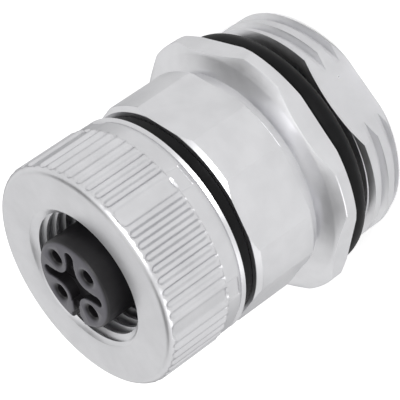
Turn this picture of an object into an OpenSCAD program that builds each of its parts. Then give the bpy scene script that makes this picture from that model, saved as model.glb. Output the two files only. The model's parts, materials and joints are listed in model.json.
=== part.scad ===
// Round screw-ring connector with four sockets, in millimetres.
// It stands on its threaded rear end, axis along +Z, mating face up, origin at the bottom centre.
// The coupling ring turns about Z on the front spigot of a housing turned from one bar.

/* [Panel thread and seal] */
// outside diameter of the panel thread
thread_d = 19.86; // [19.5:0.02:20.2]
// length of the full thread
thread_len = 3.4; // [3.0:0.1:5.0]
// height of the chamfer at the rear end
thread_chamfer = 0.55; // [0.3:0.05:0.8]
// pitch of the panel thread
thread_pitch = 1.5; // [1:0.5:2]
// depth of the panel thread
thread_depth = 0.81; // [0.6:0.01:0.86]
// depth of the flat milled on the thread
flat_depth = 0.85; // [0.6:0.01:1.0]
// depth of the relief behind the thread
relief_depth = 1.38; // [1.1:0.02:1.5]
// section of the panel seal
panel_seal_sec = 2.05; // [1.8:0.05:2.2]

/* [Flange] */
// how far the flange corners stand out past the thread
flange_step = 1.5; // [1.4:0.01:1.8]
// depth of the six flats of the flange
flange_flat = 0.73; // [0.5:0.01:0.9]
// height of the flange rim at its corners
flange_rim = 1.3; // [1.1:0.05:1.8]

/* [Body] */
// step from the spigot out to the body
shoulder = 2.82; // [2.7:0.02:3.0]
// depth of the six flats of the body
body_flat = 0.49; // [0.3:0.01:0.6]
// length of the body
body_len = 6; // [5.6:0.1:8.0]
// depth of the chamfer at the front of the body
body_chamfer = 0.62; // [0.4:0.02:0.8]
// depth of the neck between flange and body
neck_depth = 0.57; // [0.4:0.01:0.8]
// wall of the body around the rear cavity
body_wall = 2.22; // [2.1:0.02:2.4]

/* [Coupling ring] */
// nominal diameter of the coupling thread
coupling_d = 12; // [11.8:0.05:12.2]
// pitch of the coupling thread
coupling_pitch = 1; // [0.75:0.25:1.5]
// wall of the ring between its thread and the spigot
ring_wall = 1.44; // [1.35:0.01:1.6]
// how far the ribs stand above the body
rib_rise = 0.05; // [0:0.01:0.2]
// how far the plain collar lies below the ribs
collar_drop = 0.15; // [0.1:0.01:0.25]
// length of the coupling ring
ring_len = 8; // [7.6:0.1:9.0]
// length of the plain collar at the rear of the ring
collar_len = 2; // [1.6:0.1:2.4]
// gap between ring and body
ring_gap = 1.35; // [1.1:0.05:1.5]
// depth of the grip grooves
groove_depth = 0.22; // [0.15:0.01:0.3]

/* [Contact carrier] */
// gap for the plug's sleeve between carrier and thread
sleeve_gap = 1.56; // [1.45:0.01:1.65]
// how far the carrier stands out of the ring
carrier_proud = 1.05; // [0.8:0.05:1.4]
// distance of the sockets from the edge of the carrier
socket_inset = 1.4; // [1.35:0.01:1.45]
// depth of the relief between the sockets
face_relief = 0.95; // [0.8:0.05:1.1]
// width of the keyway
key_w = 1.5; // [1.3:0.05:1.7]
// bore of each socket
socket_bore_d = 1; // [0.96:0.02:1.04]

/* [Hidden] */
METAL = [0.81, 0.81, 0.83];
STEEL = [0.66, 0.67, 0.69];
RUBBER = [0.03, 0.03, 0.035];
PLASTIC = [0.25, 0.25, 0.27];
GOLD = [0.83, 0.66, 0.32];
WHITE = [0.9, 0.9, 0.88];
FR = 96;
FS = 32;
// running fits and seats
run_fit = 0.05;
seat = 0.03;
// diameters, from the coupling thread outwards
ring_bore_d = coupling_d - 1.08;
ring_entry_d = coupling_d + 0.1;
spigot_d = ring_bore_d + 2 * ring_wall;
body_d = spigot_d + 2 * shoulder;
body_af = body_d - 2 * body_flat;
neck_d = body_d - 2 * neck_depth;
cavity_d = body_d - 2 * body_wall;
ring_d = body_d + 2 * rib_rise;
collar_d = ring_d - 2 * collar_drop;
carrier_d = ring_bore_d - 2 * sleeve_gap;
socket_circle_d = carrier_d - 2 * socket_inset;
pocket_r = carrier_d / 2 + 1.7;
bush_r = pocket_r - run_fit;
mating_seal_sec = sleeve_gap - 0.46;
// diameters of the panel side
relief_d = thread_d - 2 * relief_depth;
flat_dist = thread_d / 2 - flat_depth;
thread_mouth = thread_pitch / 2 - 0.2;
z_groove = thread_chamfer + 0.12 + thread_mouth;
coupling_depth = (coupling_d - ring_bore_d) / 2;
coupling_mouth = coupling_pitch / 2 - 0.065;
flange_d = thread_d + 2 * flange_step;
flange_af = flange_d - 2 * flange_flat;
// heights of the turned steps, from the rear end up
run_in = 0.7;
relief_len = 2.55;
z_flange = thread_len + run_in + relief_len;
z_rim = z_flange + flange_rim;
z_neck = z_rim + 1.2;
z_body = z_neck + 0.9;
z_front = z_body + body_len;
z_ring = z_front + ring_gap;
z_ring_front = z_ring + ring_len;
z_ring_groove = z_ring_front - 0.7 - coupling_pitch / 2;
z_collar = z_ring + collar_len;
z_face = z_ring_front + carrier_proud;
z_spigot = z_ring + 1.55;
z_lip = z_spigot - 0.9;
z_step = z_front - 3.05;
z_washer = z_spigot + 0.3;
z_shoulder = z_washer + 0.1;
z_clip = z_ring + 0.8;
// angles, seen from above
body_turn = 10.8;
flange_turn = 27;
groove_step = 6;
strip_turn = 39;
socket_turn = -93;
key_turn = socket_turn + 225;

module ring_of(ri, ro, z0, z1) {
  translate([0, 0, z0])
    difference() {
      cylinder(h = z1 - z0, r = ro, $fn = FR);
      translate([0, 0, -1])
        cylinder(h = z1 - z0 + 2, r = ri, $fn = FR);
    }
}

module o_ring(r_mid, sec, z) {
  translate([0, 0, z])
    rotate_extrude($fn = FR)
      translate([r_mid, 0])
        circle(r = sec / 2, $fn = 20);
}

// the six blocks that mill flats on a turned shape
module flat_cuts(af, z0, z1, turn) {
  for (k = [0 : 5])
    rotate([0, 0, turn + 60 * k])
      translate([af / 2, -8, z0])
        cube([4, 16, z1 - z0]);
}

function front_arc(r, z, q, n) =
  [for (i = [0 : n]) [r - q + q * cos(90 * i / n), z - q + q * sin(90 * i / n)]];

module housing_turning() {
  rotate_extrude($fn = FR)
    polygon([
      [cavity_d / 2 + 0.25, 0],
      [thread_d / 2 - thread_chamfer, 0],
      [thread_d / 2, thread_chamfer],
      [thread_d / 2, thread_len],
      [relief_d / 2, thread_len + run_in],
      [relief_d / 2, z_flange],
      [flange_d / 2 - 0.45, z_flange],
      [flange_d / 2, z_flange + 0.3],
      [flange_d / 2, z_rim],
      [flange_d / 2 - 0.9, z_rim + 0.6],
      [neck_d / 2, z_neck],
      [neck_d / 2, z_body],
      [body_d / 2, z_body],
      [body_d / 2, z_front - body_chamfer * 0.6],
      [body_d / 2 - body_chamfer, z_front],
      [spigot_d / 2, z_front],
      [spigot_d / 2, z_clip - 0.05],
      [spigot_d / 2 - 0.55, z_clip - 0.05],
      [spigot_d / 2 - 0.55, z_clip + 0.55],
      [spigot_d / 2, z_clip + 0.55],
      [spigot_d / 2, z_spigot - 0.1],
      [spigot_d / 2 - 0.1, z_spigot],
      [carrier_d / 2 + 0.1, z_spigot],
      [carrier_d / 2 + 0.1, z_lip],
      [pocket_r, z_lip],
      [pocket_r, z_step],
      [cavity_d / 2, z_step],
      [cavity_d / 2, 0.25]
    ]);
}

// one groove of a thread, its mouth at radius r and its bottom at r + deep
module thread_groove(r, deep, z, mouth) {
  foot = mouth - abs(deep) * 0.577;
  rotate_extrude($fn = FR)
    polygon([
      [r - deep * 0.2, z - mouth - abs(deep) * 0.115],
      [r + deep, z - foot],
      [r + deep, z + foot],
      [r - deep * 0.2, z + mouth + abs(deep) * 0.115]
    ]);
}

module housing() {
  color(METAL)
    difference() {
      housing_turning();
      for (z = [z_groove : thread_pitch : thread_len - thread_mouth])
        thread_groove(thread_d / 2, -thread_depth, z, thread_mouth);
      flat_cuts(flange_af, z_flange - 0.2, z_neck + 0.2, flange_turn);
      flat_cuts(body_af, z_body - 0.3, z_front + 1, body_turn);
      translate([-8, -flat_dist - 4, -1])
        cube([16, 4, z_flange - relief_len + 1]);
      rotate([0, 0, key_turn])
        translate([pocket_r, 0, z_step - 1])
          cylinder(h = 3.5, r = 0.5 + seat, $fn = FS);
    }
}

module grip_groove() {
  translate([ring_d / 2 + 0.26 - groove_depth, 0, z_collar])
    cylinder(h = ring_len - collar_len - 0.42, r = 0.26, $fn = 14);
}

module coupling_ring() {
  color(METAL)
    difference() {
      rotate_extrude($fn = FR)
        polygon(concat([
          [spigot_d / 2 + run_fit, z_ring],
          [collar_d / 2 - 0.2, z_ring],
          [collar_d / 2, z_ring + 0.2],
          [collar_d / 2, z_collar - 0.1],
          [ring_d / 2, z_collar]
        ], front_arc(ring_d / 2, z_ring_front, 0.7, 5), [
          [ring_entry_d / 2, z_ring_front],
          [ring_bore_d / 2, z_ring_front - 0.6],
          [ring_bore_d / 2, z_shoulder],
          [spigot_d / 2 + run_fit, z_shoulder],
          [spigot_d / 2 + run_fit, z_clip + 0.6],
          [spigot_d / 2 + 0.5, z_clip + 0.6],
          [spigot_d / 2 + 0.5, z_clip - 0.1],
          [spigot_d / 2 + run_fit, z_clip - 0.1]
        ]));
      for (k = [0 : floor((z_ring_groove - z_shoulder) / coupling_pitch - 0.5)])
        thread_groove(ring_bore_d / 2, coupling_depth, z_ring_groove - k * coupling_pitch, coupling_mouth);
      for (i = [0 : 59])
        if (i % 10 != 6 && i % 10 != 7)
          rotate([0, 0, i * groove_step])
            grip_groove();
      for (k = [0 : 5])
        rotate([0, 0, strip_turn + 60 * k]) {
          translate([ring_d / 2 - 0.2, -0.68, z_collar - 0.001])
            cube([1, 1.36, ring_len - collar_len - 0.42]);
          translate([collar_d / 2 - 0.06, -3, z_collar - 1.4])
            cube([1, 6, 1.25]);
        }
    }
}

module ring_clip() {
  color(STEEL)
    difference() {
      ring_of(spigot_d / 2 - 0.5, spigot_d / 2 + 0.4, z_clip, z_clip + 0.5);
      rotate([0, 0, 200])
        translate([0, -1.5, z_clip - 1])
          cube([12, 3, 3]);
    }
}

module thrust_washer() {
  color(WHITE)
    ring_of(ring_bore_d / 2 + 0.24, spigot_d / 2 - 0.1, z_spigot, z_washer);
}

module gap_ring() {
  color(RUBBER)
    rotate_extrude($fn = FR)
      polygon([
        [spigot_d / 2 + run_fit, z_front],
        [body_d / 2 - 0.9, z_front],
        [body_d / 2 - 0.68, z_front + 0.22],
        [body_d / 2 - 0.68, z_ring - 0.4],
        [body_d / 2 - 0.9, z_ring - 0.15],
        [spigot_d / 2 + run_fit, z_ring - 0.15]
      ]);
}

module panel_seal() {
  color(RUBBER)
    o_ring(relief_d / 2 + panel_seal_sec / 2 + seat, panel_seal_sec, z_flange - panel_seal_sec / 2 - seat);
}

// one place on the socket circle
module at_socket(i) {
  rotate([0, 0, socket_turn + 90 * i])
    translate([socket_circle_d / 2, 0, 0])
      rotate([0, 0, -socket_turn - 90 * i])
        children();
}

module face_relief_shape() {
  difference() {
    union() {
      circle(r = 1.9, $fn = FS);
      for (k = [0, 1, 3])
        rotate([0, 0, socket_turn + 45 + 90 * k]) {
          translate([0, -0.55])
            square([2.8, 1.1]);
          translate([2.8, 0])
            circle(r = 0.55, $fn = FS);
        }
    }
    for (i = [0 : 3])
      rotate([0, 0, socket_turn + 90 * i])
        translate([socket_circle_d / 2, 0])
          circle(r = 1.25, $fn = FS);
  }
}

module contact_carrier() {
  color(PLASTIC)
    difference() {
      rotate_extrude($fn = FR)
        polygon([
          [0, z_step + 0.25],
          [carrier_d / 2, z_step + 0.25],
          [carrier_d / 2, z_face - 0.25],
          [carrier_d / 2 - 0.25, z_face],
          [0, z_face]
        ]);
      translate([0, 0, z_face - face_relief])
        linear_extrude(height = 2)
          face_relief_shape();
      rotate([0, 0, key_turn])
        translate([1, -0.4, z_face - 0.4])
          cube([2.4, 0.8, 1]);
      for (i = [0 : 3])
        at_socket(i) {
          translate([0, 0, z_face - 2])
            cylinder(h = 3, r = socket_bore_d / 2 + run_fit, $fn = FS);
          translate([0, 0, z_face - 0.22])
            cylinder(h = 0.24, r1 = socket_bore_d / 2 + run_fit, r2 = 0.95, $fn = FS);
          translate([0, 0, z_ring + 2.1])
            cylinder(h = z_face - 1.15 - z_ring - 2.1, r = 1.1, $fn = FS);
          translate([0, 0, z_step])
            cylinder(h = z_face - 2 - z_step, r = 0.88, $fn = FS);
        }
      rotate([0, 0, key_turn]) {
        translate([carrier_d / 2 - 0.35, -key_w / 2, z_spigot])
          cube([3, key_w, 12]);
        translate([carrier_d / 2 - 0.35, 0, z_spigot])
          cylinder(h = 12, d = key_w, $fn = FS);
      }
    }
}

module carrier_bush() {
  color(PLASTIC)
    difference() {
      rotate_extrude($fn = FR)
        polygon([
          [carrier_d / 2 + seat, z_step + 0.25],
          [bush_r, z_step + 0.25],
          [bush_r, z_lip - 2.75],
          [bush_r - 0.9, z_lip - 2.75],
          [bush_r - 0.9, z_lip - 1.75],
          [bush_r, z_lip - 1.75],
          [bush_r, z_lip - seat],
          [carrier_d / 2 + seat, z_lip - seat]
        ]);
      rotate([0, 0, key_turn])
        translate([pocket_r, 0, z_step - 1])
          cylinder(h = 3.5, r = 0.5 + seat, $fn = FS);
    }
}

module mating_seal() {
  color(RUBBER)
    o_ring(carrier_d / 2 + 0.1 + mating_seal_sec / 2, mating_seal_sec, z_spigot + mating_seal_sec / 2 + seat);
}

module carrier_seal() {
  color(RUBBER)
    o_ring(pocket_r - 0.48, 0.88, z_lip - 2.25);
}

module index_pin() {
  color(STEEL)
    rotate([0, 0, key_turn])
      translate([pocket_r, 0, z_step + seat])
        cylinder(h = 2.4, r = 0.5, $fn = FS);
}

module socket_holes(z0, z1, r) {
  for (i = [0 : 3])
    at_socket(i)
      translate([0, 0, z0])
        cylinder(h = z1 - z0, r = r, $fn = FS);
}

module base_gasket() {
  color(RUBBER)
    difference() {
      translate([0, 0, z_step - 0.05])
        cylinder(h = 0.27, r = pocket_r - 0.65, $fn = FR);
      socket_holes(z_step - 1, z_step + 1, 0.9);
    }
}

module carrier_base() {
  color(WHITE)
    difference() {
      translate([0, 0, z_step - 2.8])
        cylinder(h = 2.73, d = cavity_d - 0.1, $fn = FR);
      socket_holes(z_step - 4, z_step, 0.9);
      socket_holes(z_step - 0.95, z_step, 1.35);
    }
}

module retaining_nut() {
  color(METAL)
    difference() {
      ring_of(cavity_d / 2 - 2.3, cavity_d / 2 - seat, z_step - 4.5, z_step - 2.85);
      for (a = [0, 90])
        rotate([0, 0, a])
          translate([-9, -0.6, z_step - 5])
            cube([18, 1.2, 1.2]);
    }
}

module contact_body(i) {
  color(GOLD)
    at_socket(i)
      difference() {
        union() {
          translate([0, 0, z_step - 5])
            cylinder(h = z_face - 1.2 - z_step + 5, r = 0.85, $fn = FS);
          translate([0, 0, z_step - 0.92])
            cylinder(h = 0.82, r = 1.3, $fn = FS);
          translate([0, 0, z_step - 8])
            cylinder(h = 3, r = 0.98, $fn = FS);
        }
        translate([0, 0, z_ring + 2.2])
          cylinder(h = 12, d = socket_bore_d, $fn = FS);
        translate([0, 0, z_step - 9])
          cylinder(h = 3.6, r = 0.64, $fn = FS);
        rotate([0, 0, socket_turn + 90 * i])
          translate([0.2, -2, z_step - 9])
            cube([2, 4, 2.8]);
        rotate([0, 0, socket_turn + 90 * i + 45])
          translate([-2, -0.08, z_face - 4.4])
            cube([4, 0.16, 6]);
      }
}

module contact_spring(i) {
  color(STEEL)
    at_socket(i)
      difference() {
        ring_of(0.88, 1.06, z_face - 5.6, z_face - 1.6);
        rotate([0, 0, socket_turn + 90 * i])
          translate([0, -0.15, z_face - 6])
            cube([2, 0.3, 6]);
      }
}

module contact_1() {
  contact_body(0);
}

module contact_2() {
  contact_body(1);
}

module contact_3() {
  contact_body(2);
}

module contact_4() {
  contact_body(3);
}

module contact_spring_1() {
  contact_spring(0);
}

module contact_spring_2() {
  contact_spring(1);
}

module contact_spring_3() {
  contact_spring(2);
}

module contact_spring_4() {
  contact_spring(3);
}

housing();
coupling_ring();
ring_clip();
thrust_washer();
gap_ring();
panel_seal();
contact_carrier();
carrier_bush();
mating_seal();
carrier_seal();
index_pin();
base_gasket();
carrier_base();
retaining_nut();
contact_1();
contact_2();
contact_3();
contact_4();
contact_spring_1();
contact_spring_2();
contact_spring_3();
contact_spring_4();
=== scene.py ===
# %% [markdown]
# # A screw-ring connector with four sockets
# The real connector is turned from brass and plated with matt nickel. A knurled ring
# screws onto the plug, a hexagonal flange and a coarse thread hold the socket in a panel,
# and a grey plastic carrier keeps four gold sockets in place. The solid model fixes where
# everything is, so this lesson only rebuilds what the eye looks for: threads, knurling,
# seals and the finish of each material. Heights run along Z, from the rear end up.

# %% Load the frame and keep its box
import json
import math
import bpy
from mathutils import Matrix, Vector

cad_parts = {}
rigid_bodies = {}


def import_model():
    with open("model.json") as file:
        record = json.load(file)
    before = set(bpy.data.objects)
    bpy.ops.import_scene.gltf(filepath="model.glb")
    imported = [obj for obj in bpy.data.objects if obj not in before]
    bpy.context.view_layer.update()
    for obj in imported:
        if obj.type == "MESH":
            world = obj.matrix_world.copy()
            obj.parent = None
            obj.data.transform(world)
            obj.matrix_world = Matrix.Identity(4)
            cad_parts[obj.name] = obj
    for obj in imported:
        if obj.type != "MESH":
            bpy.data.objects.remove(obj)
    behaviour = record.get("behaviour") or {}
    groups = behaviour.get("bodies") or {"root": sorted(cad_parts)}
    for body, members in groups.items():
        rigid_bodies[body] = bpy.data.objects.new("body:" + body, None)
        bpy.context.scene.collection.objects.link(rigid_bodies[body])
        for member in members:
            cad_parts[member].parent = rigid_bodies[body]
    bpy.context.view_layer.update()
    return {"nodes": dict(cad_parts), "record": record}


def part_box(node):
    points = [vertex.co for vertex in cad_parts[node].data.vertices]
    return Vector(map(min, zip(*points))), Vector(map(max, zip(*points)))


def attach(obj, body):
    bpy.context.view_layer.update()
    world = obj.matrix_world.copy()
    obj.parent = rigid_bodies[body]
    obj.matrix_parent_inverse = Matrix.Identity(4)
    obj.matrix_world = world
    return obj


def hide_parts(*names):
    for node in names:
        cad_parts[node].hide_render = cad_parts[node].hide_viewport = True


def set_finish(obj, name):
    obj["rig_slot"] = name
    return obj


for leftover in list(bpy.data.objects):
    bpy.data.objects.remove(leftover)
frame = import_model()
MM = 0.001

# %% [markdown]
# Every height below is read from the solids, so that a new piece lands exactly where the
# old one stood. Only one corner of a box is needed for each step of a turned part.

# %% Heights of the solids
def top(node):
    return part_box(node)[1].z / MM


def bottom(node):
    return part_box(node)[0].z / MM


SEAL_PLAY = 0.03
FACE_Z, RING_TOP, RING_LOW = top("contact_carrier"), top("coupling_ring"), bottom("coupling_ring")
BODY_TOP, SPIGOT_TOP, FLANGE_LOW = bottom("gap_ring"), top("housing"), top("panel_seal") + SEAL_PLAY
print("face", FACE_Z, "ring", RING_LOW, RING_TOP, "body", BODY_TOP, "flange", FLANGE_LOW)

# %% [markdown]
# ## The camera
# The camera comes first, because it decides how fine each piece has to be. A long lens
# from a short way off keeps the rings nearly parallel. It leans to one side, so that
# the connector lies across the picture although it stands upright in its own frame.

# %% Camera
from mathutils import Matrix, Vector

right = Vector((-0.5715, -0.4023, -0.7152))
up = Vector((0.8206, -0.2802, -0.4981))
back = Vector((0.0, -0.8716, 0.4902))
stand = Vector((-0.00018, -0.17182, 0.10968))
turned = Matrix([[right[i], up[i], back[i], 0] for i in range(3)] + [[0, 0, 0, 1]])
camera = bpy.data.objects.new("camera", bpy.data.cameras.new("camera"))
bpy.context.scene.collection.objects.link(camera)
camera.matrix_world = Matrix.Translation(stand) @ turned
camera.data.lens, camera.data.sensor_width = 225, 36
camera.data.clip_start = 0.01
bpy.context.scene.camera = camera
print("camera at", [round(v, 3) for v in camera.location])

# %% [markdown]
# ## Turning, threading and cutting
# An operator acts on all that is selected. Each step therefore starts by letting go of
# everything, and a modifier is added, set up and applied in one go.

# %% Helpers that choose, modify and smooth a piece
def let_go():
    if bpy.context.object and bpy.context.object.mode != "OBJECT":
        bpy.ops.object.mode_set(mode="OBJECT")
    bpy.ops.object.select_all(action="DESELECT")


def choose(piece):
    """Make this the only selected piece, and the active one."""
    let_go()
    bpy.context.view_layer.objects.active = piece
    piece.select_set(True)


def modify(piece, kind, **settings):
    """Add a modifier, set it up and apply it at once."""
    choose(piece)
    bpy.ops.object.modifier_add(type=kind)
    modifier = piece.modifiers[-1]
    for key, value in settings.items():
        setattr(modifier, key, value)
    bpy.ops.object.modifier_apply(modifier=modifier.name)


def smooth(piece, degrees):
    """Smooth shading, with the edges that turn by more than this kept sharp."""
    choose(piece)
    bpy.ops.object.shade_smooth_by_angle(angle=math.radians(degrees))


def counted(piece):
    print(piece.name, len(piece.data.vertices), "points", len(piece.data.polygons), "faces")
    return piece

# %% [markdown]
# A lathe part is one outline swept round the axis. By hand it is a single point that is
# extruded from corner to corner and then spun. Short outlines keep the sharp edges sharp,
# and a second point beside a corner gives the small radius that catches the light.

# %% Helpers that work like a lathe
def draw_outline(name, points, y=0.0):
    let_go()
    bpy.ops.mesh.primitive_plane_add(size=0.0001, location=(0, 0, 0), enter_editmode=True)
    bpy.context.object.name = name
    bpy.ops.mesh.merge(type="CENTER")
    bpy.ops.transform.translate(value=(points[0][0] * MM, y, points[0][1] * MM))
    for a, b in zip(points, points[1:]):
        step = ((b[0] - a[0]) * MM, 0, (b[1] - a[1]) * MM)
        bpy.ops.mesh.extrude_region_move(TRANSFORM_OT_translate={"value": step})
    return bpy.context.object


def close_mesh(gap=1e-7):
    bpy.ops.mesh.select_all(action="SELECT")
    bpy.ops.mesh.remove_doubles(threshold=gap)
    bpy.ops.mesh.normals_make_consistent(inside=False)
    bpy.ops.object.mode_set(mode="OBJECT")


def turn(name, points, steps=192):
    piece = draw_outline(name, points)
    bpy.ops.mesh.select_all(action="SELECT")
    bpy.ops.mesh.spin(steps=steps, angle=2 * math.pi, center=(0, 0, 0), axis=(0, 0, 1))
    close_mesh(1e-6)
    return piece


def soften(points, size=0.05):
    """The same outline with each corner cut by a small chamfer, which shades as a radius."""
    out = [points[0]]
    for a, b, c in zip(points, points[1:], points[2:]):
        for other in (a, c):
            gap = math.dist(b, other)
            t = min(size, 0.4 * gap) / max(gap, 1e-9)
            out.append((b[0] + (other[0] - b[0]) * t, b[1] + (other[1] - b[1]) * t))
    return out + [points[-1]]

# %% [markdown]
# Flats are milled: a block stands outside the flat, and what it covers is taken away with
# the Boolean modifier, which is applied at once. The same helper joins and intersects.

# %% Helpers that cut and mill
def combine(piece, tool, how="DIFFERENCE"):
    modify(piece, "BOOLEAN", operation=how, object=tool, solver="EXACT")
    bpy.data.objects.remove(tool)
    return piece


def block(size, centre, angle=0.0):
    """A box in millimetres, turned about the Z axis of the part."""
    let_go()
    bpy.ops.mesh.primitive_cube_add(size=1, enter_editmode=True)
    bpy.ops.transform.resize(value=[s * MM for s in size])
    bpy.ops.transform.translate(value=[c * MM for c in centre])
    bpy.ops.object.mode_set(mode="OBJECT")
    box = bpy.context.object
    box.data.transform(Matrix.Rotation(math.radians(angle), 4, "Z"))
    return box


def mill_flat(piece, distance, angle, low, high):
    combine(piece, block((4, 18, high - low), (distance + 2, 0, (low + high) / 2), angle))


def mill_six(piece, distance, angle, low, high):
    for side in range(6):
        mill_flat(piece, distance, angle + 60 * side, low, high)

# %% [markdown]
# A screw thread is one tooth of the outline, as tall as the pitch, which climbs by that
# pitch in each turn. The Screw modifier sweeps it and merges one turn with the next. The
# two open ends are then filled, which leaves a closed threaded rod. The same rod serves
# as an outside thread and, subtracted from a bore, as the tap of an inside one.

# %% Threaded rod
def threaded_rod(name, root, crest, pitch, low, high, flat=0.125, steps=128, phase=0.0):
    """The flat is the width of the crest as a share of the pitch."""
    start, turns = low - 2 * pitch + phase, math.ceil((high - low) / pitch) + 4
    tooth = [(root, 0), (root, pitch * 0.11), (crest, pitch * (0.5 - flat / 2)),
             (crest, pitch * (0.5 + flat / 2)), (root, pitch * 0.89), (root, pitch)]
    rod = draw_outline(name, [(r, start + z) for r, z in tooth])
    modify(rod, "SCREW", axis="Z", angle=2 * math.pi, screw_offset=pitch * MM, iterations=turns,
           steps=steps, render_steps=steps, use_merge_vertices=True, merge_threshold=1e-6)
    bpy.ops.object.mode_set(mode="EDIT")
    bpy.ops.mesh.select_all(action="SELECT")
    bpy.ops.mesh.remove_doubles(threshold=1e-6)
    bpy.ops.mesh.fill_holes(sides=0)
    close_mesh(1e-7)
    return rod

# %% [markdown]
# ## The housing
# The housing is turned from one bar: thread, relief, flange, neck, body and spigot. It is
# built in sections, because the flange and the body each get six flats of their own, and
# a flat that is planed before the sections are joined can't reach its neighbour. Sections
# that meet have different step counts, so that no edge lies along another one, which is
# what a Boolean finds hardest.

# %% Panel thread with its run-in, chamfer and milled flat
THREAD_R, THREAD_ROOT, THREAD_PITCH, RELIEF_R = 9.93, 9.42, 1.5, 8.55
THREAD_FLAT, THREAD_END = THREAD_R - 0.85, 4.152
thread = threaded_rod("connector_body", THREAD_ROOT, THREAD_R + 0.02, THREAD_PITCH, -0.6, 4.6,
                      flat=0.4, phase=0.35)
envelope = turn("thread_limit", [(0, 0), (THREAD_R - 0.6, 0), (THREAD_R - 0.5, 0.05),
                                 (THREAD_R, 0.55), (THREAD_R, 3.4), (RELIEF_R - 0.1, THREAD_END),
                                 (0, THREAD_END)], 199)
body = combine(thread, envelope, "INTERSECT")
mill_flat(body, THREAD_FLAT, 270, -1, 4.05)
counted(body)

# %% [markdown]
# The flange has a chamfer on each side of its rim and a long cone up to the neck. Its six
# flats leave the corners round, and the front chamfer crosses them in shallow arcs.

# %% Flange with six flats, and the relief behind it
FLANGE_R = 11.43
rim = [(FLANGE_R - 0.45, 0), (FLANGE_R - 0.41, 0.02), (FLANGE_R - 0.04, 0.27), (FLANGE_R, 0.33),
       (FLANGE_R, 1.28), (FLANGE_R - 0.04, 1.34), (FLANGE_R - 0.86, 1.88), (FLANGE_R - 0.98, 1.93),
       (9.25, 2.47), (9.0, 2.62), (0, 2.62)]
flange = turn("flange", [(0, 3.9), (RELIEF_R, 3.9), (RELIEF_R, FLANGE_LOW - 0.12),
                         (RELIEF_R + 0.12, FLANGE_LOW)] + [(r, FLANGE_LOW + z) for r, z in rim])
mill_six(flange, FLANGE_R - 0.73, 27, FLANGE_LOW - 0.3, FLANGE_LOW + 3.2)
counted(flange)

# %% [markdown]
# The body gets its flats in the same way. The neck stays round, and the spigot, on which
# the coupling ring turns, has a groove for the ring's clip.

# %% Body with six flats and a bright front chamfer, neck and spigot
BODY_R, BODY_LOW, NECK_R, SPIGOT_R = 9.78, 10.05, 9.15, 6.9
CLIP_R, CLIP_LOW, CLIP_TOP = 6.35, 18.15, 18.75
barrel = turn("barrel", [(0, BODY_LOW), (BODY_R - 0.1, BODY_LOW), (BODY_R, BODY_LOW + 0.1),
                         (BODY_R, BODY_TOP - 0.39), (BODY_R - 0.02, BODY_TOP - 0.34),
                         (BODY_R - 0.35, BODY_TOP - 0.02), (BODY_R - 0.39, BODY_TOP),
                         (0, BODY_TOP)])
mill_six(barrel, BODY_R - 0.49, 10.8, 9, BODY_TOP + 1)
neck = turn("neck", [(0, 8.5), (NECK_R, 8.5), (NECK_R, 10.3), (0, 10.3)], 185)
spigot = turn("spigot", [(0, 15.5), (SPIGOT_R, 15.5), (SPIGOT_R, CLIP_LOW), (CLIP_R, CLIP_LOW),
                         (CLIP_R, CLIP_TOP), (SPIGOT_R, CLIP_TOP), (SPIGOT_R, SPIGOT_TOP - 0.1),
                         (SPIGOT_R - 0.1, SPIGOT_TOP), (0, SPIGOT_TOP)], 149)
for section in (flange, neck, barrel, spigot):
    combine(body, section, "UNION")
counted(body)

# %% [markdown]
# The wires enter from the rear into a wide cavity, which narrows to the seat of the
# carrier and then to the hole that the carrier's plug stands out of.

# %% Cavity for the wires and the seat of the carrier
CAVITY_R, SEAT_R, HOLE_R = 7.5, 5.6, 4.0
SEAT_LOW, SEAT_TOP = 13.0, 18.05
cavity = turn("cavity", [(0, -1), (CAVITY_R + 0.25, -1), (CAVITY_R + 0.25, 0), (CAVITY_R, 0.25),
                         (CAVITY_R, SEAT_LOW), (SEAT_R, SEAT_LOW), (SEAT_R, SEAT_TOP),
                         (HOLE_R, SEAT_TOP),
                         (HOLE_R, 20), (0, 20)], 157)
combine(body, cavity)
smooth(body, 13)
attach(body, "housing_body")
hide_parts("housing")
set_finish(body, "nickel_plate")
counted(body)

# %% [markdown]
# ## The coupling ring
# The grip is a row of 60 places, six degrees apart. Each of the six smooth strips takes
# two places, and each of the other 48 has a groove. A knurl is easiest to model flat: a
# cross-section of the ring wall is drawn and stretched sideways column by column, and the
# groove is pressed in. Copies stand side by side, and a bend of a full turn closes them.

# %% Cross-section of the ring wall
RING_R, COLLAR_R, BORE_R, HOLLOW_R = 9.77, 9.62, 5.46, 6.95
LIP_R, HOLLOW_TOP = 0.7, RING_LOW + 1.95
DEGREE = RING_R * math.radians(1)


def polar(r, angle):
    return r * math.cos(math.radians(angle)), r * math.sin(math.radians(angle))


lip = [polar(LIP_R, angle) for angle in (8, 17, 25, 34, 45, 56, 67, 79, 90)]
lip = [(RING_R - LIP_R + r, RING_TOP - LIP_R + z) for r, z in lip]
collar = [(COLLAR_R - 0.22, 0), (COLLAR_R - 0.07, 0.07), (COLLAR_R, 0.24), (COLLAR_R, 0.7),
          (COLLAR_R, 0.74), (COLLAR_R, 1.76), (COLLAR_R, 1.8), (COLLAR_R, 1.93),
          (COLLAR_R + 0.05, 1.96), (RING_R - 0.03, 2.05)]
grip = [(RING_R, h) for h in (2.14, 2.26, 3.5, 5.0, 6.4, 6.9, 7.05, 7.15, 7.24)]
wall = [(HOLLOW_R, RING_LOW)] + [(r, RING_LOW + h) for r, h in collar + grip]
wall += [(RING_R, RING_TOP - LIP_R)] + lip
wall += [(8.4, RING_TOP), (6.16, RING_TOP), (6.09, RING_TOP - 0.03), (BORE_R, RING_TOP - 0.63),
         (BORE_R, HOLLOW_TOP), (HOLLOW_R, HOLLOW_TOP), (HOLLOW_R, RING_LOW)]
print("wall outline", len(wall), "points, one degree is", round(DEGREE, 4), "mm")

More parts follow.
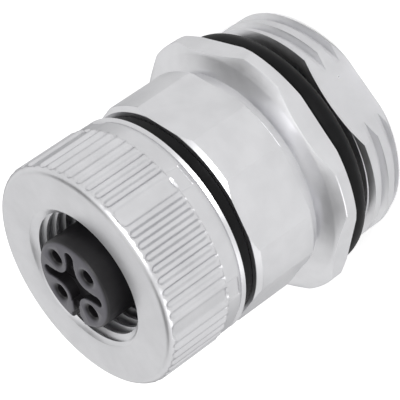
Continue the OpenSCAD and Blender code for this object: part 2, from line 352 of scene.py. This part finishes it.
# %% [markdown]
# The outline is laid in the plane of the wall's section and extruded sideways, with a
# column at every place where the press will need points to move.

# %% One stretch of wall
def stretch_wall(name, stops):
    """The section extruded along X, with a column at each stop in degrees. Outwards is -Y."""
    piece = draw_outline(name, [(0, z) for r, z in wall])
    bpy.ops.object.mode_set(mode="OBJECT")
    for vertex, (r, z) in zip(piece.data.vertices, wall):
        vertex.co.y = (RING_R - r) * MM
        vertex.co.x = stops[0] * DEGREE * MM
    bpy.ops.object.mode_set(mode="EDIT")
    bpy.ops.mesh.select_all(action="SELECT")
    for a, b in zip(stops, stops[1:]):
        sideways = ((b - a) * DEGREE * MM, 0, 0)
        bpy.ops.mesh.extrude_region_move(TRANSFORM_OT_translate={"value": sideways})
    close_mesh()
    return piece


def both_sides(stops):
    return [-stop for stop in reversed(stops)] + [0] + stops

# %% [markdown]
# The press moves every point inside a long patch with round ends inwards, most in the
# middle. Points on the inner skin of the wall lie too deep for it and stay.

# %% A press that pushes a patch inwards
GRIP_LOW, GRIP_HIGH = RING_LOW + 1.8, RING_TOP - 0.27
FRONT_END, REAR_END, SLOPE, OUTER_SKIN = 0.5, 0.45, 2.0, 0.9


def press(piece, half_width, depth):
    """Push a patch of the outer skin inwards. Its width and its sloping side are in degrees."""
    for vertex in piece.data.vertices:
        x, y, z = (c / MM for c in vertex.co)
        over = max((z - GRIP_HIGH + FRONT_END) / FRONT_END, (GRIP_LOW + REAR_END - z) / REAR_END, 0)
        inside = 1 - math.hypot(x / DEGREE / half_width, over)
        if y < OUTER_SKIN and inside > 0:
            slope = min(inside * half_width / SLOPE, 1)
            vertex.co.y += depth * MM * (1 - math.cos(math.pi * slope)) / 2

# %% [markdown]
# A groove is pressed in with a level floor and sides that slope like a wave. Its closed
# front end is round, as a small cutter leaves it, and its rear end runs out to the collar.

# %% Groove place and smooth strip
groove = stretch_wall("grip_ring", both_sides([0.6, 1.0, 1.4, 1.8, 2.2, 2.6, 3.0]))
press(groove, 2.6, 0.32)
strip = stretch_wall("strip", both_sides([2.0, 3.4, 3.8, 4.2, 4.6, 5.0, 5.4, 6.0]))
press(strip, 5.4, 0.26)

# %% [markdown]
# The collar behind each strip has a flat as wide as the strip. On the unrolled wall a flat
# is a shallow hollow, and its depth follows from the distance of a chord from the axis.

# %% Flats on the collar
COLLAR_FLAT = 9.53
for vertex in strip.data.vertices:
    x, y, z = (c / MM for c in vertex.co)
    if abs(x / DEGREE) < 5.9 and y < 0.2 and RING_LOW + 0.72 < z < RING_LOW + 1.78:
        chord = COLLAR_FLAT / math.cos(x / RING_R)
        vertex.co.y = max(vertex.co.y, (RING_R - chord) * MM)
counted(groove)
counted(strip)

# %% [markdown]
# Eight grooves and one strip make sixty degrees. They are joined, repeated six times and
# bent once round. The bend turns the flat back of the wall into a true bore.

# %% Repeat and bend
PLACE, SECTOR = 6, 60


def repeat(piece, count, step):
    modify(piece, "ARRAY", use_relative_offset=False, use_constant_offset=True,
           constant_offset_displace=(step * DEGREE * MM, 0, 0), count=count,
           use_merge_vertices=True, merge_threshold=1e-6)


repeat(groove, 8, PLACE)
choose(strip)
bpy.ops.transform.translate(value=(-1.5 * PLACE * DEGREE * MM, 0, 0))
groove.select_set(True)
bpy.context.view_layer.objects.active = groove
bpy.ops.object.join()
ring = groove
bpy.ops.object.transform_apply(location=True, rotation=True, scale=True)
repeat(ring, 6, SECTOR)
modify(ring, "SIMPLE_DEFORM", deform_method="BEND", deform_axis="Z", angle=2 * math.pi)
xs = [v.co.x for v in ring.data.vertices]
print("ring spans", round((max(xs) - min(xs)) / MM, 3), "mm")

# %% [markdown]
# The bend leaves the ring beside the axis, with its two ends touching. It is moved by the
# middle of its own span, welded shut and turned until its strips stand where they should.

# %% Close the ring, centre it and turn it to its place
RING_TURN = -21
ys = [v.co.y for v in ring.data.vertices]
middle = Vector(((max(xs) + min(xs)) / 2, (max(ys) + min(ys)) / 2, 0))
ring.data.transform(Matrix.Translation(-middle))
bpy.ops.object.mode_set(mode="EDIT")
close_mesh(2e-6)
choose(ring)
bpy.ops.transform.rotate(value=math.radians(RING_TURN), orient_axis="Z", center_override=(0, 0, 0))
bpy.ops.object.transform_apply(location=True, rotation=True, scale=True)
counted(ring)

# %% [markdown]
# The inside thread is cut as on the bench: a tap with the form of the thread goes down
# the bore, and what it meets is taken away. Its own tapered end lets the thread run out.

# %% Tap the M12 thread
TAP_R, TAP_PITCH, TAP_LOW, TAP_TOP = 6.02, 1.0, RING_LOW + 2.2, RING_TOP + 0.5
tap = threaded_rod("tap", BORE_R - 0.03, TAP_R, TAP_PITCH, TAP_LOW + 0.2, TAP_TOP,
                   steps=96, phase=0.2)
limit = turn("tap_limit", [(0, TAP_LOW), (5.3, TAP_LOW), (6.1, TAP_LOW + 0.7), (6.1, TAP_TOP),
                           (0, TAP_TOP)], 96)
combine(ring, combine(tap, limit, "INTERSECT"))
smooth(ring, 38)
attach(ring, "ring_body")
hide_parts("coupling_ring")
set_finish(ring, "nickel_ring")
counted(ring)

# %% [markdown]
# ## The contact carrier
# The carrier is a moulded grey plug. Its face is cut away between four round turrets.
# Arms run out between them on three sides, and a keyway goes down the fourth. All of it
# is cut with plain cylinders and blocks.

# %% Round cutters for the carrier
CARRIER_R, CARRIER_LOW = 3.9, 13.25
SOCKET_TURN, SOCKET_CIRCLE = -93, 2.5
KEY_TURN = SOCKET_TURN + 225


def drill(radius_mm, low, high, x=0.0, y=0.0, sides=64):
    let_go()
    centre = (x * MM, y * MM, (low + high) / 2 * MM)
    bpy.ops.mesh.primitive_cone_add(vertices=sides, radius1=radius_mm * MM, radius2=radius_mm * MM,
                                    depth=(high - low) * MM, location=centre)
    bpy.ops.object.transform_apply(location=True, rotation=True, scale=True)
    return bpy.context.object


socket_places = [polar(SOCKET_CIRCLE, SOCKET_TURN + 90 * k) for k in range(4)]
print("sockets at", [tuple(round(c, 2) for c in place) for place in socket_places])

# %% [markdown]
# Each socket is a stepped hole: a countersink, a narrow mouth and a wider chamber for the
# contact. One turned cutter has all three, and it goes in while the plug is still plain.

# %% Plug with four stepped sockets
BLIND, CHAMBER_R, MOUTH_R, SINK_R = 19.5, 1.1, 0.55, 0.95
carrier = turn("socket_carrier", soften([(0, CARRIER_LOW), (CARRIER_R, CARRIER_LOW),
                                         (CARRIER_R, FACE_Z - 0.25), (CARRIER_R - 0.25, FACE_Z),
                                         (0, FACE_Z)], 0.06), 128)
step_drill = [(0, BLIND), (CHAMBER_R, BLIND), (CHAMBER_R, FACE_Z - 1.15), (MOUTH_R, FACE_Z - 1.15),
              (MOUTH_R, FACE_Z - 0.24), (SINK_R, FACE_Z + 0.01), (SINK_R, FACE_Z + 0.5),
              (0, FACE_Z + 0.5)]
for x, y in socket_places:
    tool = turn("step_drill", step_drill, 48)
    tool.data.transform(Matrix.Translation((x * MM, y * MM, 0)))
    combine(carrier, tool)
counted(carrier)

# %% [markdown]
# The middle is milled out round the turrets. The arms go a little deeper than the middle,
# and their round ends deeper again, so that no two floors lie in one plane.

# %% Relief, arms and keyway
TURRET_R, RELIEF_CUT_R, ARM_WIDTH, ARM_END = 1.25, 1.93, 0.94, 2.78
relief = drill(RELIEF_CUT_R, FACE_Z - 0.95, FACE_Z + 1, sides=96)
for place in socket_places:
    combine(relief, drill(TURRET_R, FACE_Z - 2, FACE_Z + 2, *place))
combine(carrier, relief)
for angle in (45, 135, 315):
    arm_turn = SOCKET_TURN + angle
    combine(carrier, block((2.0, ARM_WIDTH, 2.2), (1.8, 0, FACE_Z + 0.05), arm_turn))
    combine(carrier, drill(0.5, FACE_Z - 1.16, FACE_Z + 1.3, *polar(ARM_END, arm_turn), sides=47))
combine(carrier, block((2.2, 0.8, 1), (2.3, 0, FACE_Z + 0.1), KEY_TURN))
key = block((3, 1.5, 12), (5.05, 0, SPIGOT_TOP + 6), KEY_TURN)
key_floor = drill(0.75, SPIGOT_TOP, SPIGOT_TOP + 12, *polar(3.55, KEY_TURN))
combine(carrier, combine(key, key_floor, "UNION"))
counted(carrier)

# %% [markdown]
# A moulding has no knife edges, so a fine bevel rounds every edge that turns by more than
# 50 degrees. It goes on last, when no cut can meet its narrow faces any more.

# %% Bevel the moulded edges
modify(carrier, "BEVEL", width=0.045 * MM, segments=2, limit_method="ANGLE",
       angle_limit=math.radians(50), use_clamp_overlap=True)
smooth(carrier, 35)
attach(carrier, "housing_body")
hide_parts("contact_carrier")
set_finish(carrier, "grey_plastic")
counted(carrier)

# %% [markdown]
# ## The rubber parts
# An O-ring is a round section spun about the axis, with the hair-line of its mould on the
# outside. Where it sits on the thread relief it is drawn a little tight, so its section
# is slightly taller than wide. The gap seal is a plain band with rolled edges.

# %% Seals
def seal(name, middle_r, across, tall, node, sides=28):
    """An O-ring at the height of the solid that it takes the place of."""
    height, points = (bottom(node) + top(node)) / 2, []
    for i in range(sides + 1):
        a = math.radians(360 * i / sides)
        flash = 0.012 if i in (0, sides) else 0.0
        out, up_by = (across / 2 + flash) * math.cos(a), tall / 2 * math.sin(a)
        points.append((middle_r + out, height + up_by))
    piece = turn(name, points, 160)
    smooth(piece, 60)
    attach(piece, "housing_body")
    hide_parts(node)
    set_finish(piece, "black_rubber")
    return counted(piece)


panel_ring = seal("panel_o_ring", 9.6, 2.03, 2.05, "panel_seal")
face_ring = seal("mating_o_ring", 4.55, 1.1, 1.1, "mating_seal", 20)
BAND_R, BAND_BORE = 9.04, 6.96
low, high = bottom("gap_ring"), top("gap_ring")
band = turn("gap_seal", soften([(BAND_BORE, low), (BAND_R - 0.04, low), (BAND_R, low + 0.22),
                                (BAND_R, high - 0.25), (BAND_R - 0.24, high), (BAND_BORE, high),
                                (BAND_BORE, low)], 0.08), 160)
smooth(band, 60)
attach(band, "housing_body")
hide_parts("gap_ring")
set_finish(band, "black_rubber")
counted(band)

# %% [markdown]
# ## Materials
# Every finish reads Object coordinates, so nothing slides when the part turns. Matt
# nickel is a metal with a fairly high roughness, faint rings from the lathe and a soft
# cloudiness where the plating is thicker. One small helper adds a node and sets it up.

# %% Helpers for node materials
def new_material(name, metal, rough):
    material = bpy.data.materials.new(name)
    material.use_nodes = True
    shader = material.node_tree.nodes["Principled BSDF"]
    shader.inputs["Metallic"].default_value = metal
    shader.inputs["Roughness"].default_value = rough
    return material, material.node_tree, shader


def node(tree, kind, **values):
    made = tree.nodes.new(kind)
    for key, value in values.items():
        if key in made.inputs:
            made.inputs[key].default_value = value
        else:
            setattr(made, key, value)
    return made

# %% [markdown]
# Three small patterns serve all the finishes: a noise, a ramp that turns it into colour,
# and a bump that turns it into a faint relief.

# %% Noise, colour and relief
def speckle(tree, scale, detail=3.0, stretch=(1, 1, 1)):
    """Noise on Object coordinates in metres, stretched along an axis for grain."""
    place = node(tree, "ShaderNodeTexCoord")
    mapping = node(tree, "ShaderNodeMapping", Scale=stretch)
    noise = node(tree, "ShaderNodeTexNoise", Scale=scale, Detail=detail)
    tree.links.new(place.outputs["Object"], mapping.inputs["Vector"])
    tree.links.new(mapping.outputs["Vector"], noise.inputs["Vector"])
    return noise.outputs["Fac"]


def ramp(tree, source, low, high, start=0.35, end=0.65):
    """A colour ramp from one shade to another, driven by a grey source."""
    made = node(tree, "ShaderNodeValToRGB")
    made.color_ramp.elements[0].position, made.color_ramp.elements[0].color = start, (*low, 1)
    made.color_ramp.elements[1].position, made.color_ramp.elements[1].color = end, (*high, 1)
    tree.links.new(source, made.inputs["Fac"])
    return made.outputs["Color"]


def bump(tree, shader, height, distance, strength):
    made = node(tree, "ShaderNodeBump", Distance=distance, Strength=strength)
    tree.links.new(height, made.inputs["Height"])
    tree.links.new(made.outputs["Normal"], shader.inputs["Normal"])

# %% [markdown]
# A lathe leaves fine rings round the axis. A noise that reads only the distance from the
# axis and the height has the same value all the way round, and so it draws such rings.

# %% Rings round the axis
def lathe_rings(tree, per_metre):
    place = node(tree, "ShaderNodeTexCoord")
    flat = node(tree, "ShaderNodeVectorMath", operation="MULTIPLY")
    flat.inputs[1].default_value = (1, 1, 0)
    length = node(tree, "ShaderNodeVectorMath", operation="LENGTH")
    parts = node(tree, "ShaderNodeSeparateXYZ")
    joined = node(tree, "ShaderNodeCombineXYZ")
    noise = node(tree, "ShaderNodeTexNoise", Scale=per_metre, Detail=2.0)
    tree.links.new(place.outputs["Object"], flat.inputs[0])
    tree.links.new(flat.outputs["Vector"], length.inputs[0])
    tree.links.new(place.outputs["Object"], parts.inputs["Vector"])
    tree.links.new(length.outputs["Value"], joined.inputs["X"])
    tree.links.new(parts.outputs["Z"], joined.inputs["Y"])
    tree.links.new(joined.outputs["Vector"], noise.inputs["Vector"])
    return noise.outputs["Fac"]

# %% [markdown]
# The plating is a metal with a cloudy shade and a cloudy roughness. The front face of the
# ring is faced off with a coarser tool, so it is a little more matt than the sides.

# %% Matt nickel
def height_above(tree, start, end):
    """Runs from 0 to 1 between two heights of the part, in millimetres."""
    place = node(tree, "ShaderNodeTexCoord")
    parts = node(tree, "ShaderNodeSeparateXYZ")
    made = node(tree, "ShaderNodeMapRange", **{"From Min": start * MM, "From Max": end * MM})
    tree.links.new(place.outputs["Object"], parts.inputs["Vector"])
    tree.links.new(parts.outputs["Z"], made.inputs["Value"])
    return made.outputs["Result"]


def matt_nickel(name, shade, rough, rings, face_rough=0.0):
    """Plating whose front face may be rougher than its sides by face_rough."""
    material, tree, shader = new_material(name, 1.0, rough)
    darker, lighter = tuple(c * 0.96 for c in shade), tuple(min(c * 1.03, 1) for c in shade)
    tree.links.new(ramp(tree, speckle(tree, 420), darker, lighter), shader.inputs["Base Color"])
    worn = node(tree, "ShaderNodeMapRange", **{"To Min": rough - 0.05, "To Max": rough + 0.06})
    tree.links.new(speckle(tree, 1500), worn.inputs["Value"])
    matt = node(tree, "ShaderNodeMath", operation="MULTIPLY_ADD")
    matt.inputs[1].default_value = face_rough
    tree.links.new(height_above(tree, RING_TOP - 0.06, RING_TOP - 0.01), matt.inputs[0])
    tree.links.new(worn.outputs["Result"], matt.inputs[2])
    tree.links.new(matt.outputs["Value"], shader.inputs["Roughness"])
    bump(tree, shader, lathe_rings(tree, rings), 0.00002, 0.12)
    return material


# The housing's plating is painted a little lighter than the ring's. This painted light stands in for
# the brighter light on the body's flats.
plate = matt_nickel("matt_nickel_housing_painted_light", (0.66, 0.66, 0.675), 0.3, 9000)
plate_ring = matt_nickel("matt_nickel_ring", (0.62, 0.62, 0.635), 0.3, 7000, 0.08)
print("nickel", plate.name, plate_ring.name)

# %% [markdown]
# Rubber and moulded plastic share one recipe: a dark base with a slight cloud and a fine
# grain. The plug's face gets painted light: close below the face its colour is mixed with a
# lighter one, which stands in for the light that falls on the face.

# %% Rubber and plastics
def rubber_like(name, shade, rough, grain, depth, shine=0.5):
    material, tree, shader = new_material(name, 0.0, rough)
    shader.inputs["Specular IOR Level"].default_value = shine
    lighter = tuple(min(c * 1.25 + 0.002, 1) for c in shade)
    tree.links.new(ramp(tree, speckle(tree, 900), shade, lighter), shader.inputs["Base Color"])
    bump(tree, shader, speckle(tree, grain, 4.0), depth, 0.3)
    return material


# Painted light: mixes a lighter colour into the plug just below its face, for the light on it.
def paint_light_on_face(material, shade):
    tree = material.node_tree
    base = tree.nodes["Principled BSDF"].inputs["Base Color"]
    sides = base.links[0].from_socket
    painted_light = node(tree, "ShaderNodeMix", data_type="RGBA")
    painted_light.inputs["B"].default_value = (*shade, 1)
    tree.links.new(height_above(tree, FACE_Z - 0.16, FACE_Z - 0.03), painted_light.inputs["Factor"])
    tree.links.new(sides, painted_light.inputs["A"])
    tree.links.new(painted_light.outputs["Result"], base)


rubber = rubber_like("black_nitrile", (0.003, 0.003, 0.0035), 0.5, 6000, 0.00002, 0.15)
grey = rubber_like("grey_moulding", (0.0075, 0.0068, 0.008), 0.38, 9000, 0.00001, 0.3)
# Painted light on the plug's face.
paint_light_on_face(grey, (0.095, 0.092, 0.105))
white = rubber_like("white_moulding", (0.72, 0.72, 0.69), 0.45, 9000, 0.00001)
print("mouldings", rubber.name, grey.name, white.name)

# %% [markdown]
# The contacts are gold plated, and their springs, the ring's clip and the index pin are
# steel. Both metals have a grain along the part, because the noise is stretched in Z.

# %% Gold and steel
def drawn_metal(name, shade, rough):
    material, tree, shader = new_material(name, 1.0, rough)
    darker = tuple(c * 0.9 for c in shade)
    grain = speckle(tree, 3000, 2.0, (1, 1, 0.1))
    tree.links.new(ramp(tree, grain, darker, shade), shader.inputs["Base Color"])
    bump(tree, shader, grain, 0.00001, 0.15)
    return material


gold = drawn_metal("gold_plate", (0.83, 0.62, 0.27), 0.25)
steel = drawn_metal("spring_steel", (0.55, 0.56, 0.58), 0.3)
finishes = {"nickel_plate": plate, "nickel_ring": plate_ring, "spring_steel": steel,
            "black_rubber": rubber, "grey_plastic": grey, "white_plastic": white, "gold_plate": gold}
print("finishes", sorted(finishes))

# %% [markdown]
# The record of the solids names a finish for each of them, and the new pieces carry the
# same names. One table therefore paints everything, hidden parts included.

# %% Give every piece its finish
def paint(piece, material):
    piece.data.materials.clear()
    piece.data.materials.append(material)


for part in frame["record"]["subparts"]:
    paint(frame["nodes"][part["node"]], finishes[part["material_slot"]])
new_pieces = (body, ring, carrier, panel_ring, face_ring, band)
for piece in new_pieces:
    paint(piece, finishes[piece["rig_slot"]])
print("painted", len(frame["nodes"]), "solids and", len(new_pieces), "new pieces")

# %% [markdown]
# ## Floor, light and surroundings
# The part stands on a white floor in a white room. What the camera and the metal see is
# plain white, while the light that reaches the part stays at a level where each colour
# shows as it is. The floor still takes the shadow of the part.

# %% White floor that glows a little
CAMERA_GLOW, METAL_GLOW = 0.5, 0.12
let_go()
bpy.ops.mesh.primitive_plane_add(size=4, location=(0, 0, 0))
floor = bpy.context.object
floor.name = "floor"
floor_paint, tree, shader = new_material("white_floor", 0.0, 0.9)
light_path = node(tree, "ShaderNodeLightPath")
to_camera = node(tree, "ShaderNodeMath", operation="MULTIPLY")
to_metal = node(tree, "ShaderNodeMath", operation="MULTIPLY_ADD")
to_camera.inputs[1].default_value, to_metal.inputs[1].default_value = CAMERA_GLOW, METAL_GLOW
tree.links.new(light_path.outputs["Is Camera Ray"], to_camera.inputs[0])
tree.links.new(light_path.outputs["Is Glossy Ray"], to_metal.inputs[0])
tree.links.new(to_camera.outputs["Value"], to_metal.inputs[2])
tree.links.new(to_metal.outputs["Value"], shader.inputs["Emission Strength"])
shader.inputs["Emission Color"].default_value = (1, 1, 1, 1)
paint(floor, floor_paint)
print("floor glows", CAMERA_GLOW, "to the camera and", METAL_GLOW, "in reflections")

# %% [markdown]
# In reflections alone the floor falls off to grey behind the part, which gives round metal
# its dark limbs.

# %% Grey floor in reflections
FLOOR_WHITE, FLOOR_GREY = (0.9, 0.9, 0.9, 1), (0.48, 0.48, 0.49, 1)
place = node(tree, "ShaderNodeTexCoord")
axes = node(tree, "ShaderNodeSeparateXYZ")
behind = node(tree, "ShaderNodeMapRange", **{"From Min": 0.0, "From Max": 0.03})
shaded = node(tree, "ShaderNodeMath", operation="MULTIPLY")
tint = node(tree, "ShaderNodeMix", data_type="RGBA")
tint.inputs["A"].default_value, tint.inputs["B"].default_value = FLOOR_WHITE, FLOOR_GREY
tree.links.new(place.outputs["Object"], axes.inputs["Vector"])
tree.links.new(axes.outputs["Y"], behind.inputs["Value"])
tree.links.new(behind.outputs["Result"], shaded.inputs[0])
tree.links.new(light_path.outputs["Is Glossy Ray"], shaded.inputs[1])
tree.links.new(shaded.outputs["Value"], tint.inputs["Factor"])
tree.links.new(tint.outputs["Result"], shader.inputs["Base Color"])
print("floor is", FLOOR_WHITE[:3], "and in reflections down to", FLOOR_GREY[:3])

# %% [markdown]
# The room is one white background. Seen directly, in metal or through glass it has its
# full strength, and the light that it throws on the part is held back.

# %% White room
ROOM_LIGHT, ROOM_WHITE = 0.55, 1.0
world = bpy.data.worlds.new("room")
bpy.context.scene.world = world
world.use_nodes = True
tree = world.node_tree
background = tree.nodes["Background"]
path = node(tree, "ShaderNodeLightPath")
seen = node(tree, "ShaderNodeMath", operation="MAXIMUM")
through = node(tree, "ShaderNodeMath", operation="MAXIMUM")
level = node(tree, "ShaderNodeMapRange", **{"To Min": ROOM_LIGHT, "To Max": ROOM_WHITE})
tree.links.new(path.outputs["Is Camera Ray"], seen.inputs[0])
tree.links.new(path.outputs["Is Glossy Ray"], seen.inputs[1])
tree.links.new(seen.outputs["Value"], through.inputs[0])
tree.links.new(path.outputs["Is Transmission Ray"], through.inputs[1])
tree.links.new(through.outputs["Value"], level.inputs["Value"])
tree.links.new(level.outputs["Result"], background.inputs["Strength"])
background.inputs["Color"].default_value = (1, 1, 1, 1)
print("room is", ROOM_WHITE, "to the eye and lights the part with", ROOM_LIGHT)

# %% [markdown]
# Two soft boxes give the form. The key hangs high in front, over the mating face, and a
# weak fill stands at one side.

# %% Soft boxes
MIDDLE = Vector((0, 0, 0.014))


def soft_box(name, place, size, watts):
    lamp = bpy.data.lights.new(name, "AREA")
    lamp.energy, lamp.size = watts, size
    holder = bpy.data.objects.new(name, lamp)
    bpy.context.scene.collection.objects.link(holder)
    holder.location = place
    holder.rotation_euler = (MIDDLE - Vector(place)).to_track_quat("-Z", "Y").to_euler()
    print(name, watts, "W at", place)


soft_box("key", (0.03, -0.2, 0.28), 0.16, 0.55)
soft_box("fill", (-0.3, -0.1, 0.16), 0.2, 0.15)

# %% [markdown]
# A bright room alone leaves metal flat. In a studio a dark card hangs where the metal
# should show a dark edge. Here a pair hangs above and behind, one on each side, and only
# reflections see it.

# %% Black cards
card_paint, tree, shader = new_material("card_black", 0.0, 0.9)
shader.inputs["Base Color"].default_value = (0.02, 0.02, 0.02, 1)
shader.inputs["Emission Color"].default_value = (1, 1, 1, 1)
shader.inputs["Emission Strength"].default_value = 0.22
for side in (-1, 1):
    let_go()
    bpy.ops.mesh.primitive_plane_add(size=1, location=(0.2 * side, 0.2, 0.4))
    card = bpy.context.object
    card.name = "black_card_left" if side < 0 else "black_card_right"
    bpy.ops.transform.resize(value=(0.22, 0.36, 1))
    bpy.ops.object.transform_apply(location=True, rotation=True, scale=True)
    paint(card, card_paint)
    card.visible_camera = card.visible_diffuse = False
    card.visible_shadow = card.visible_transmission = False
    print(card.name, "hangs at", [round(c, 2) for c in card.bound_box[0]])
bpy.context.scene.view_settings.view_transform = "Standard"
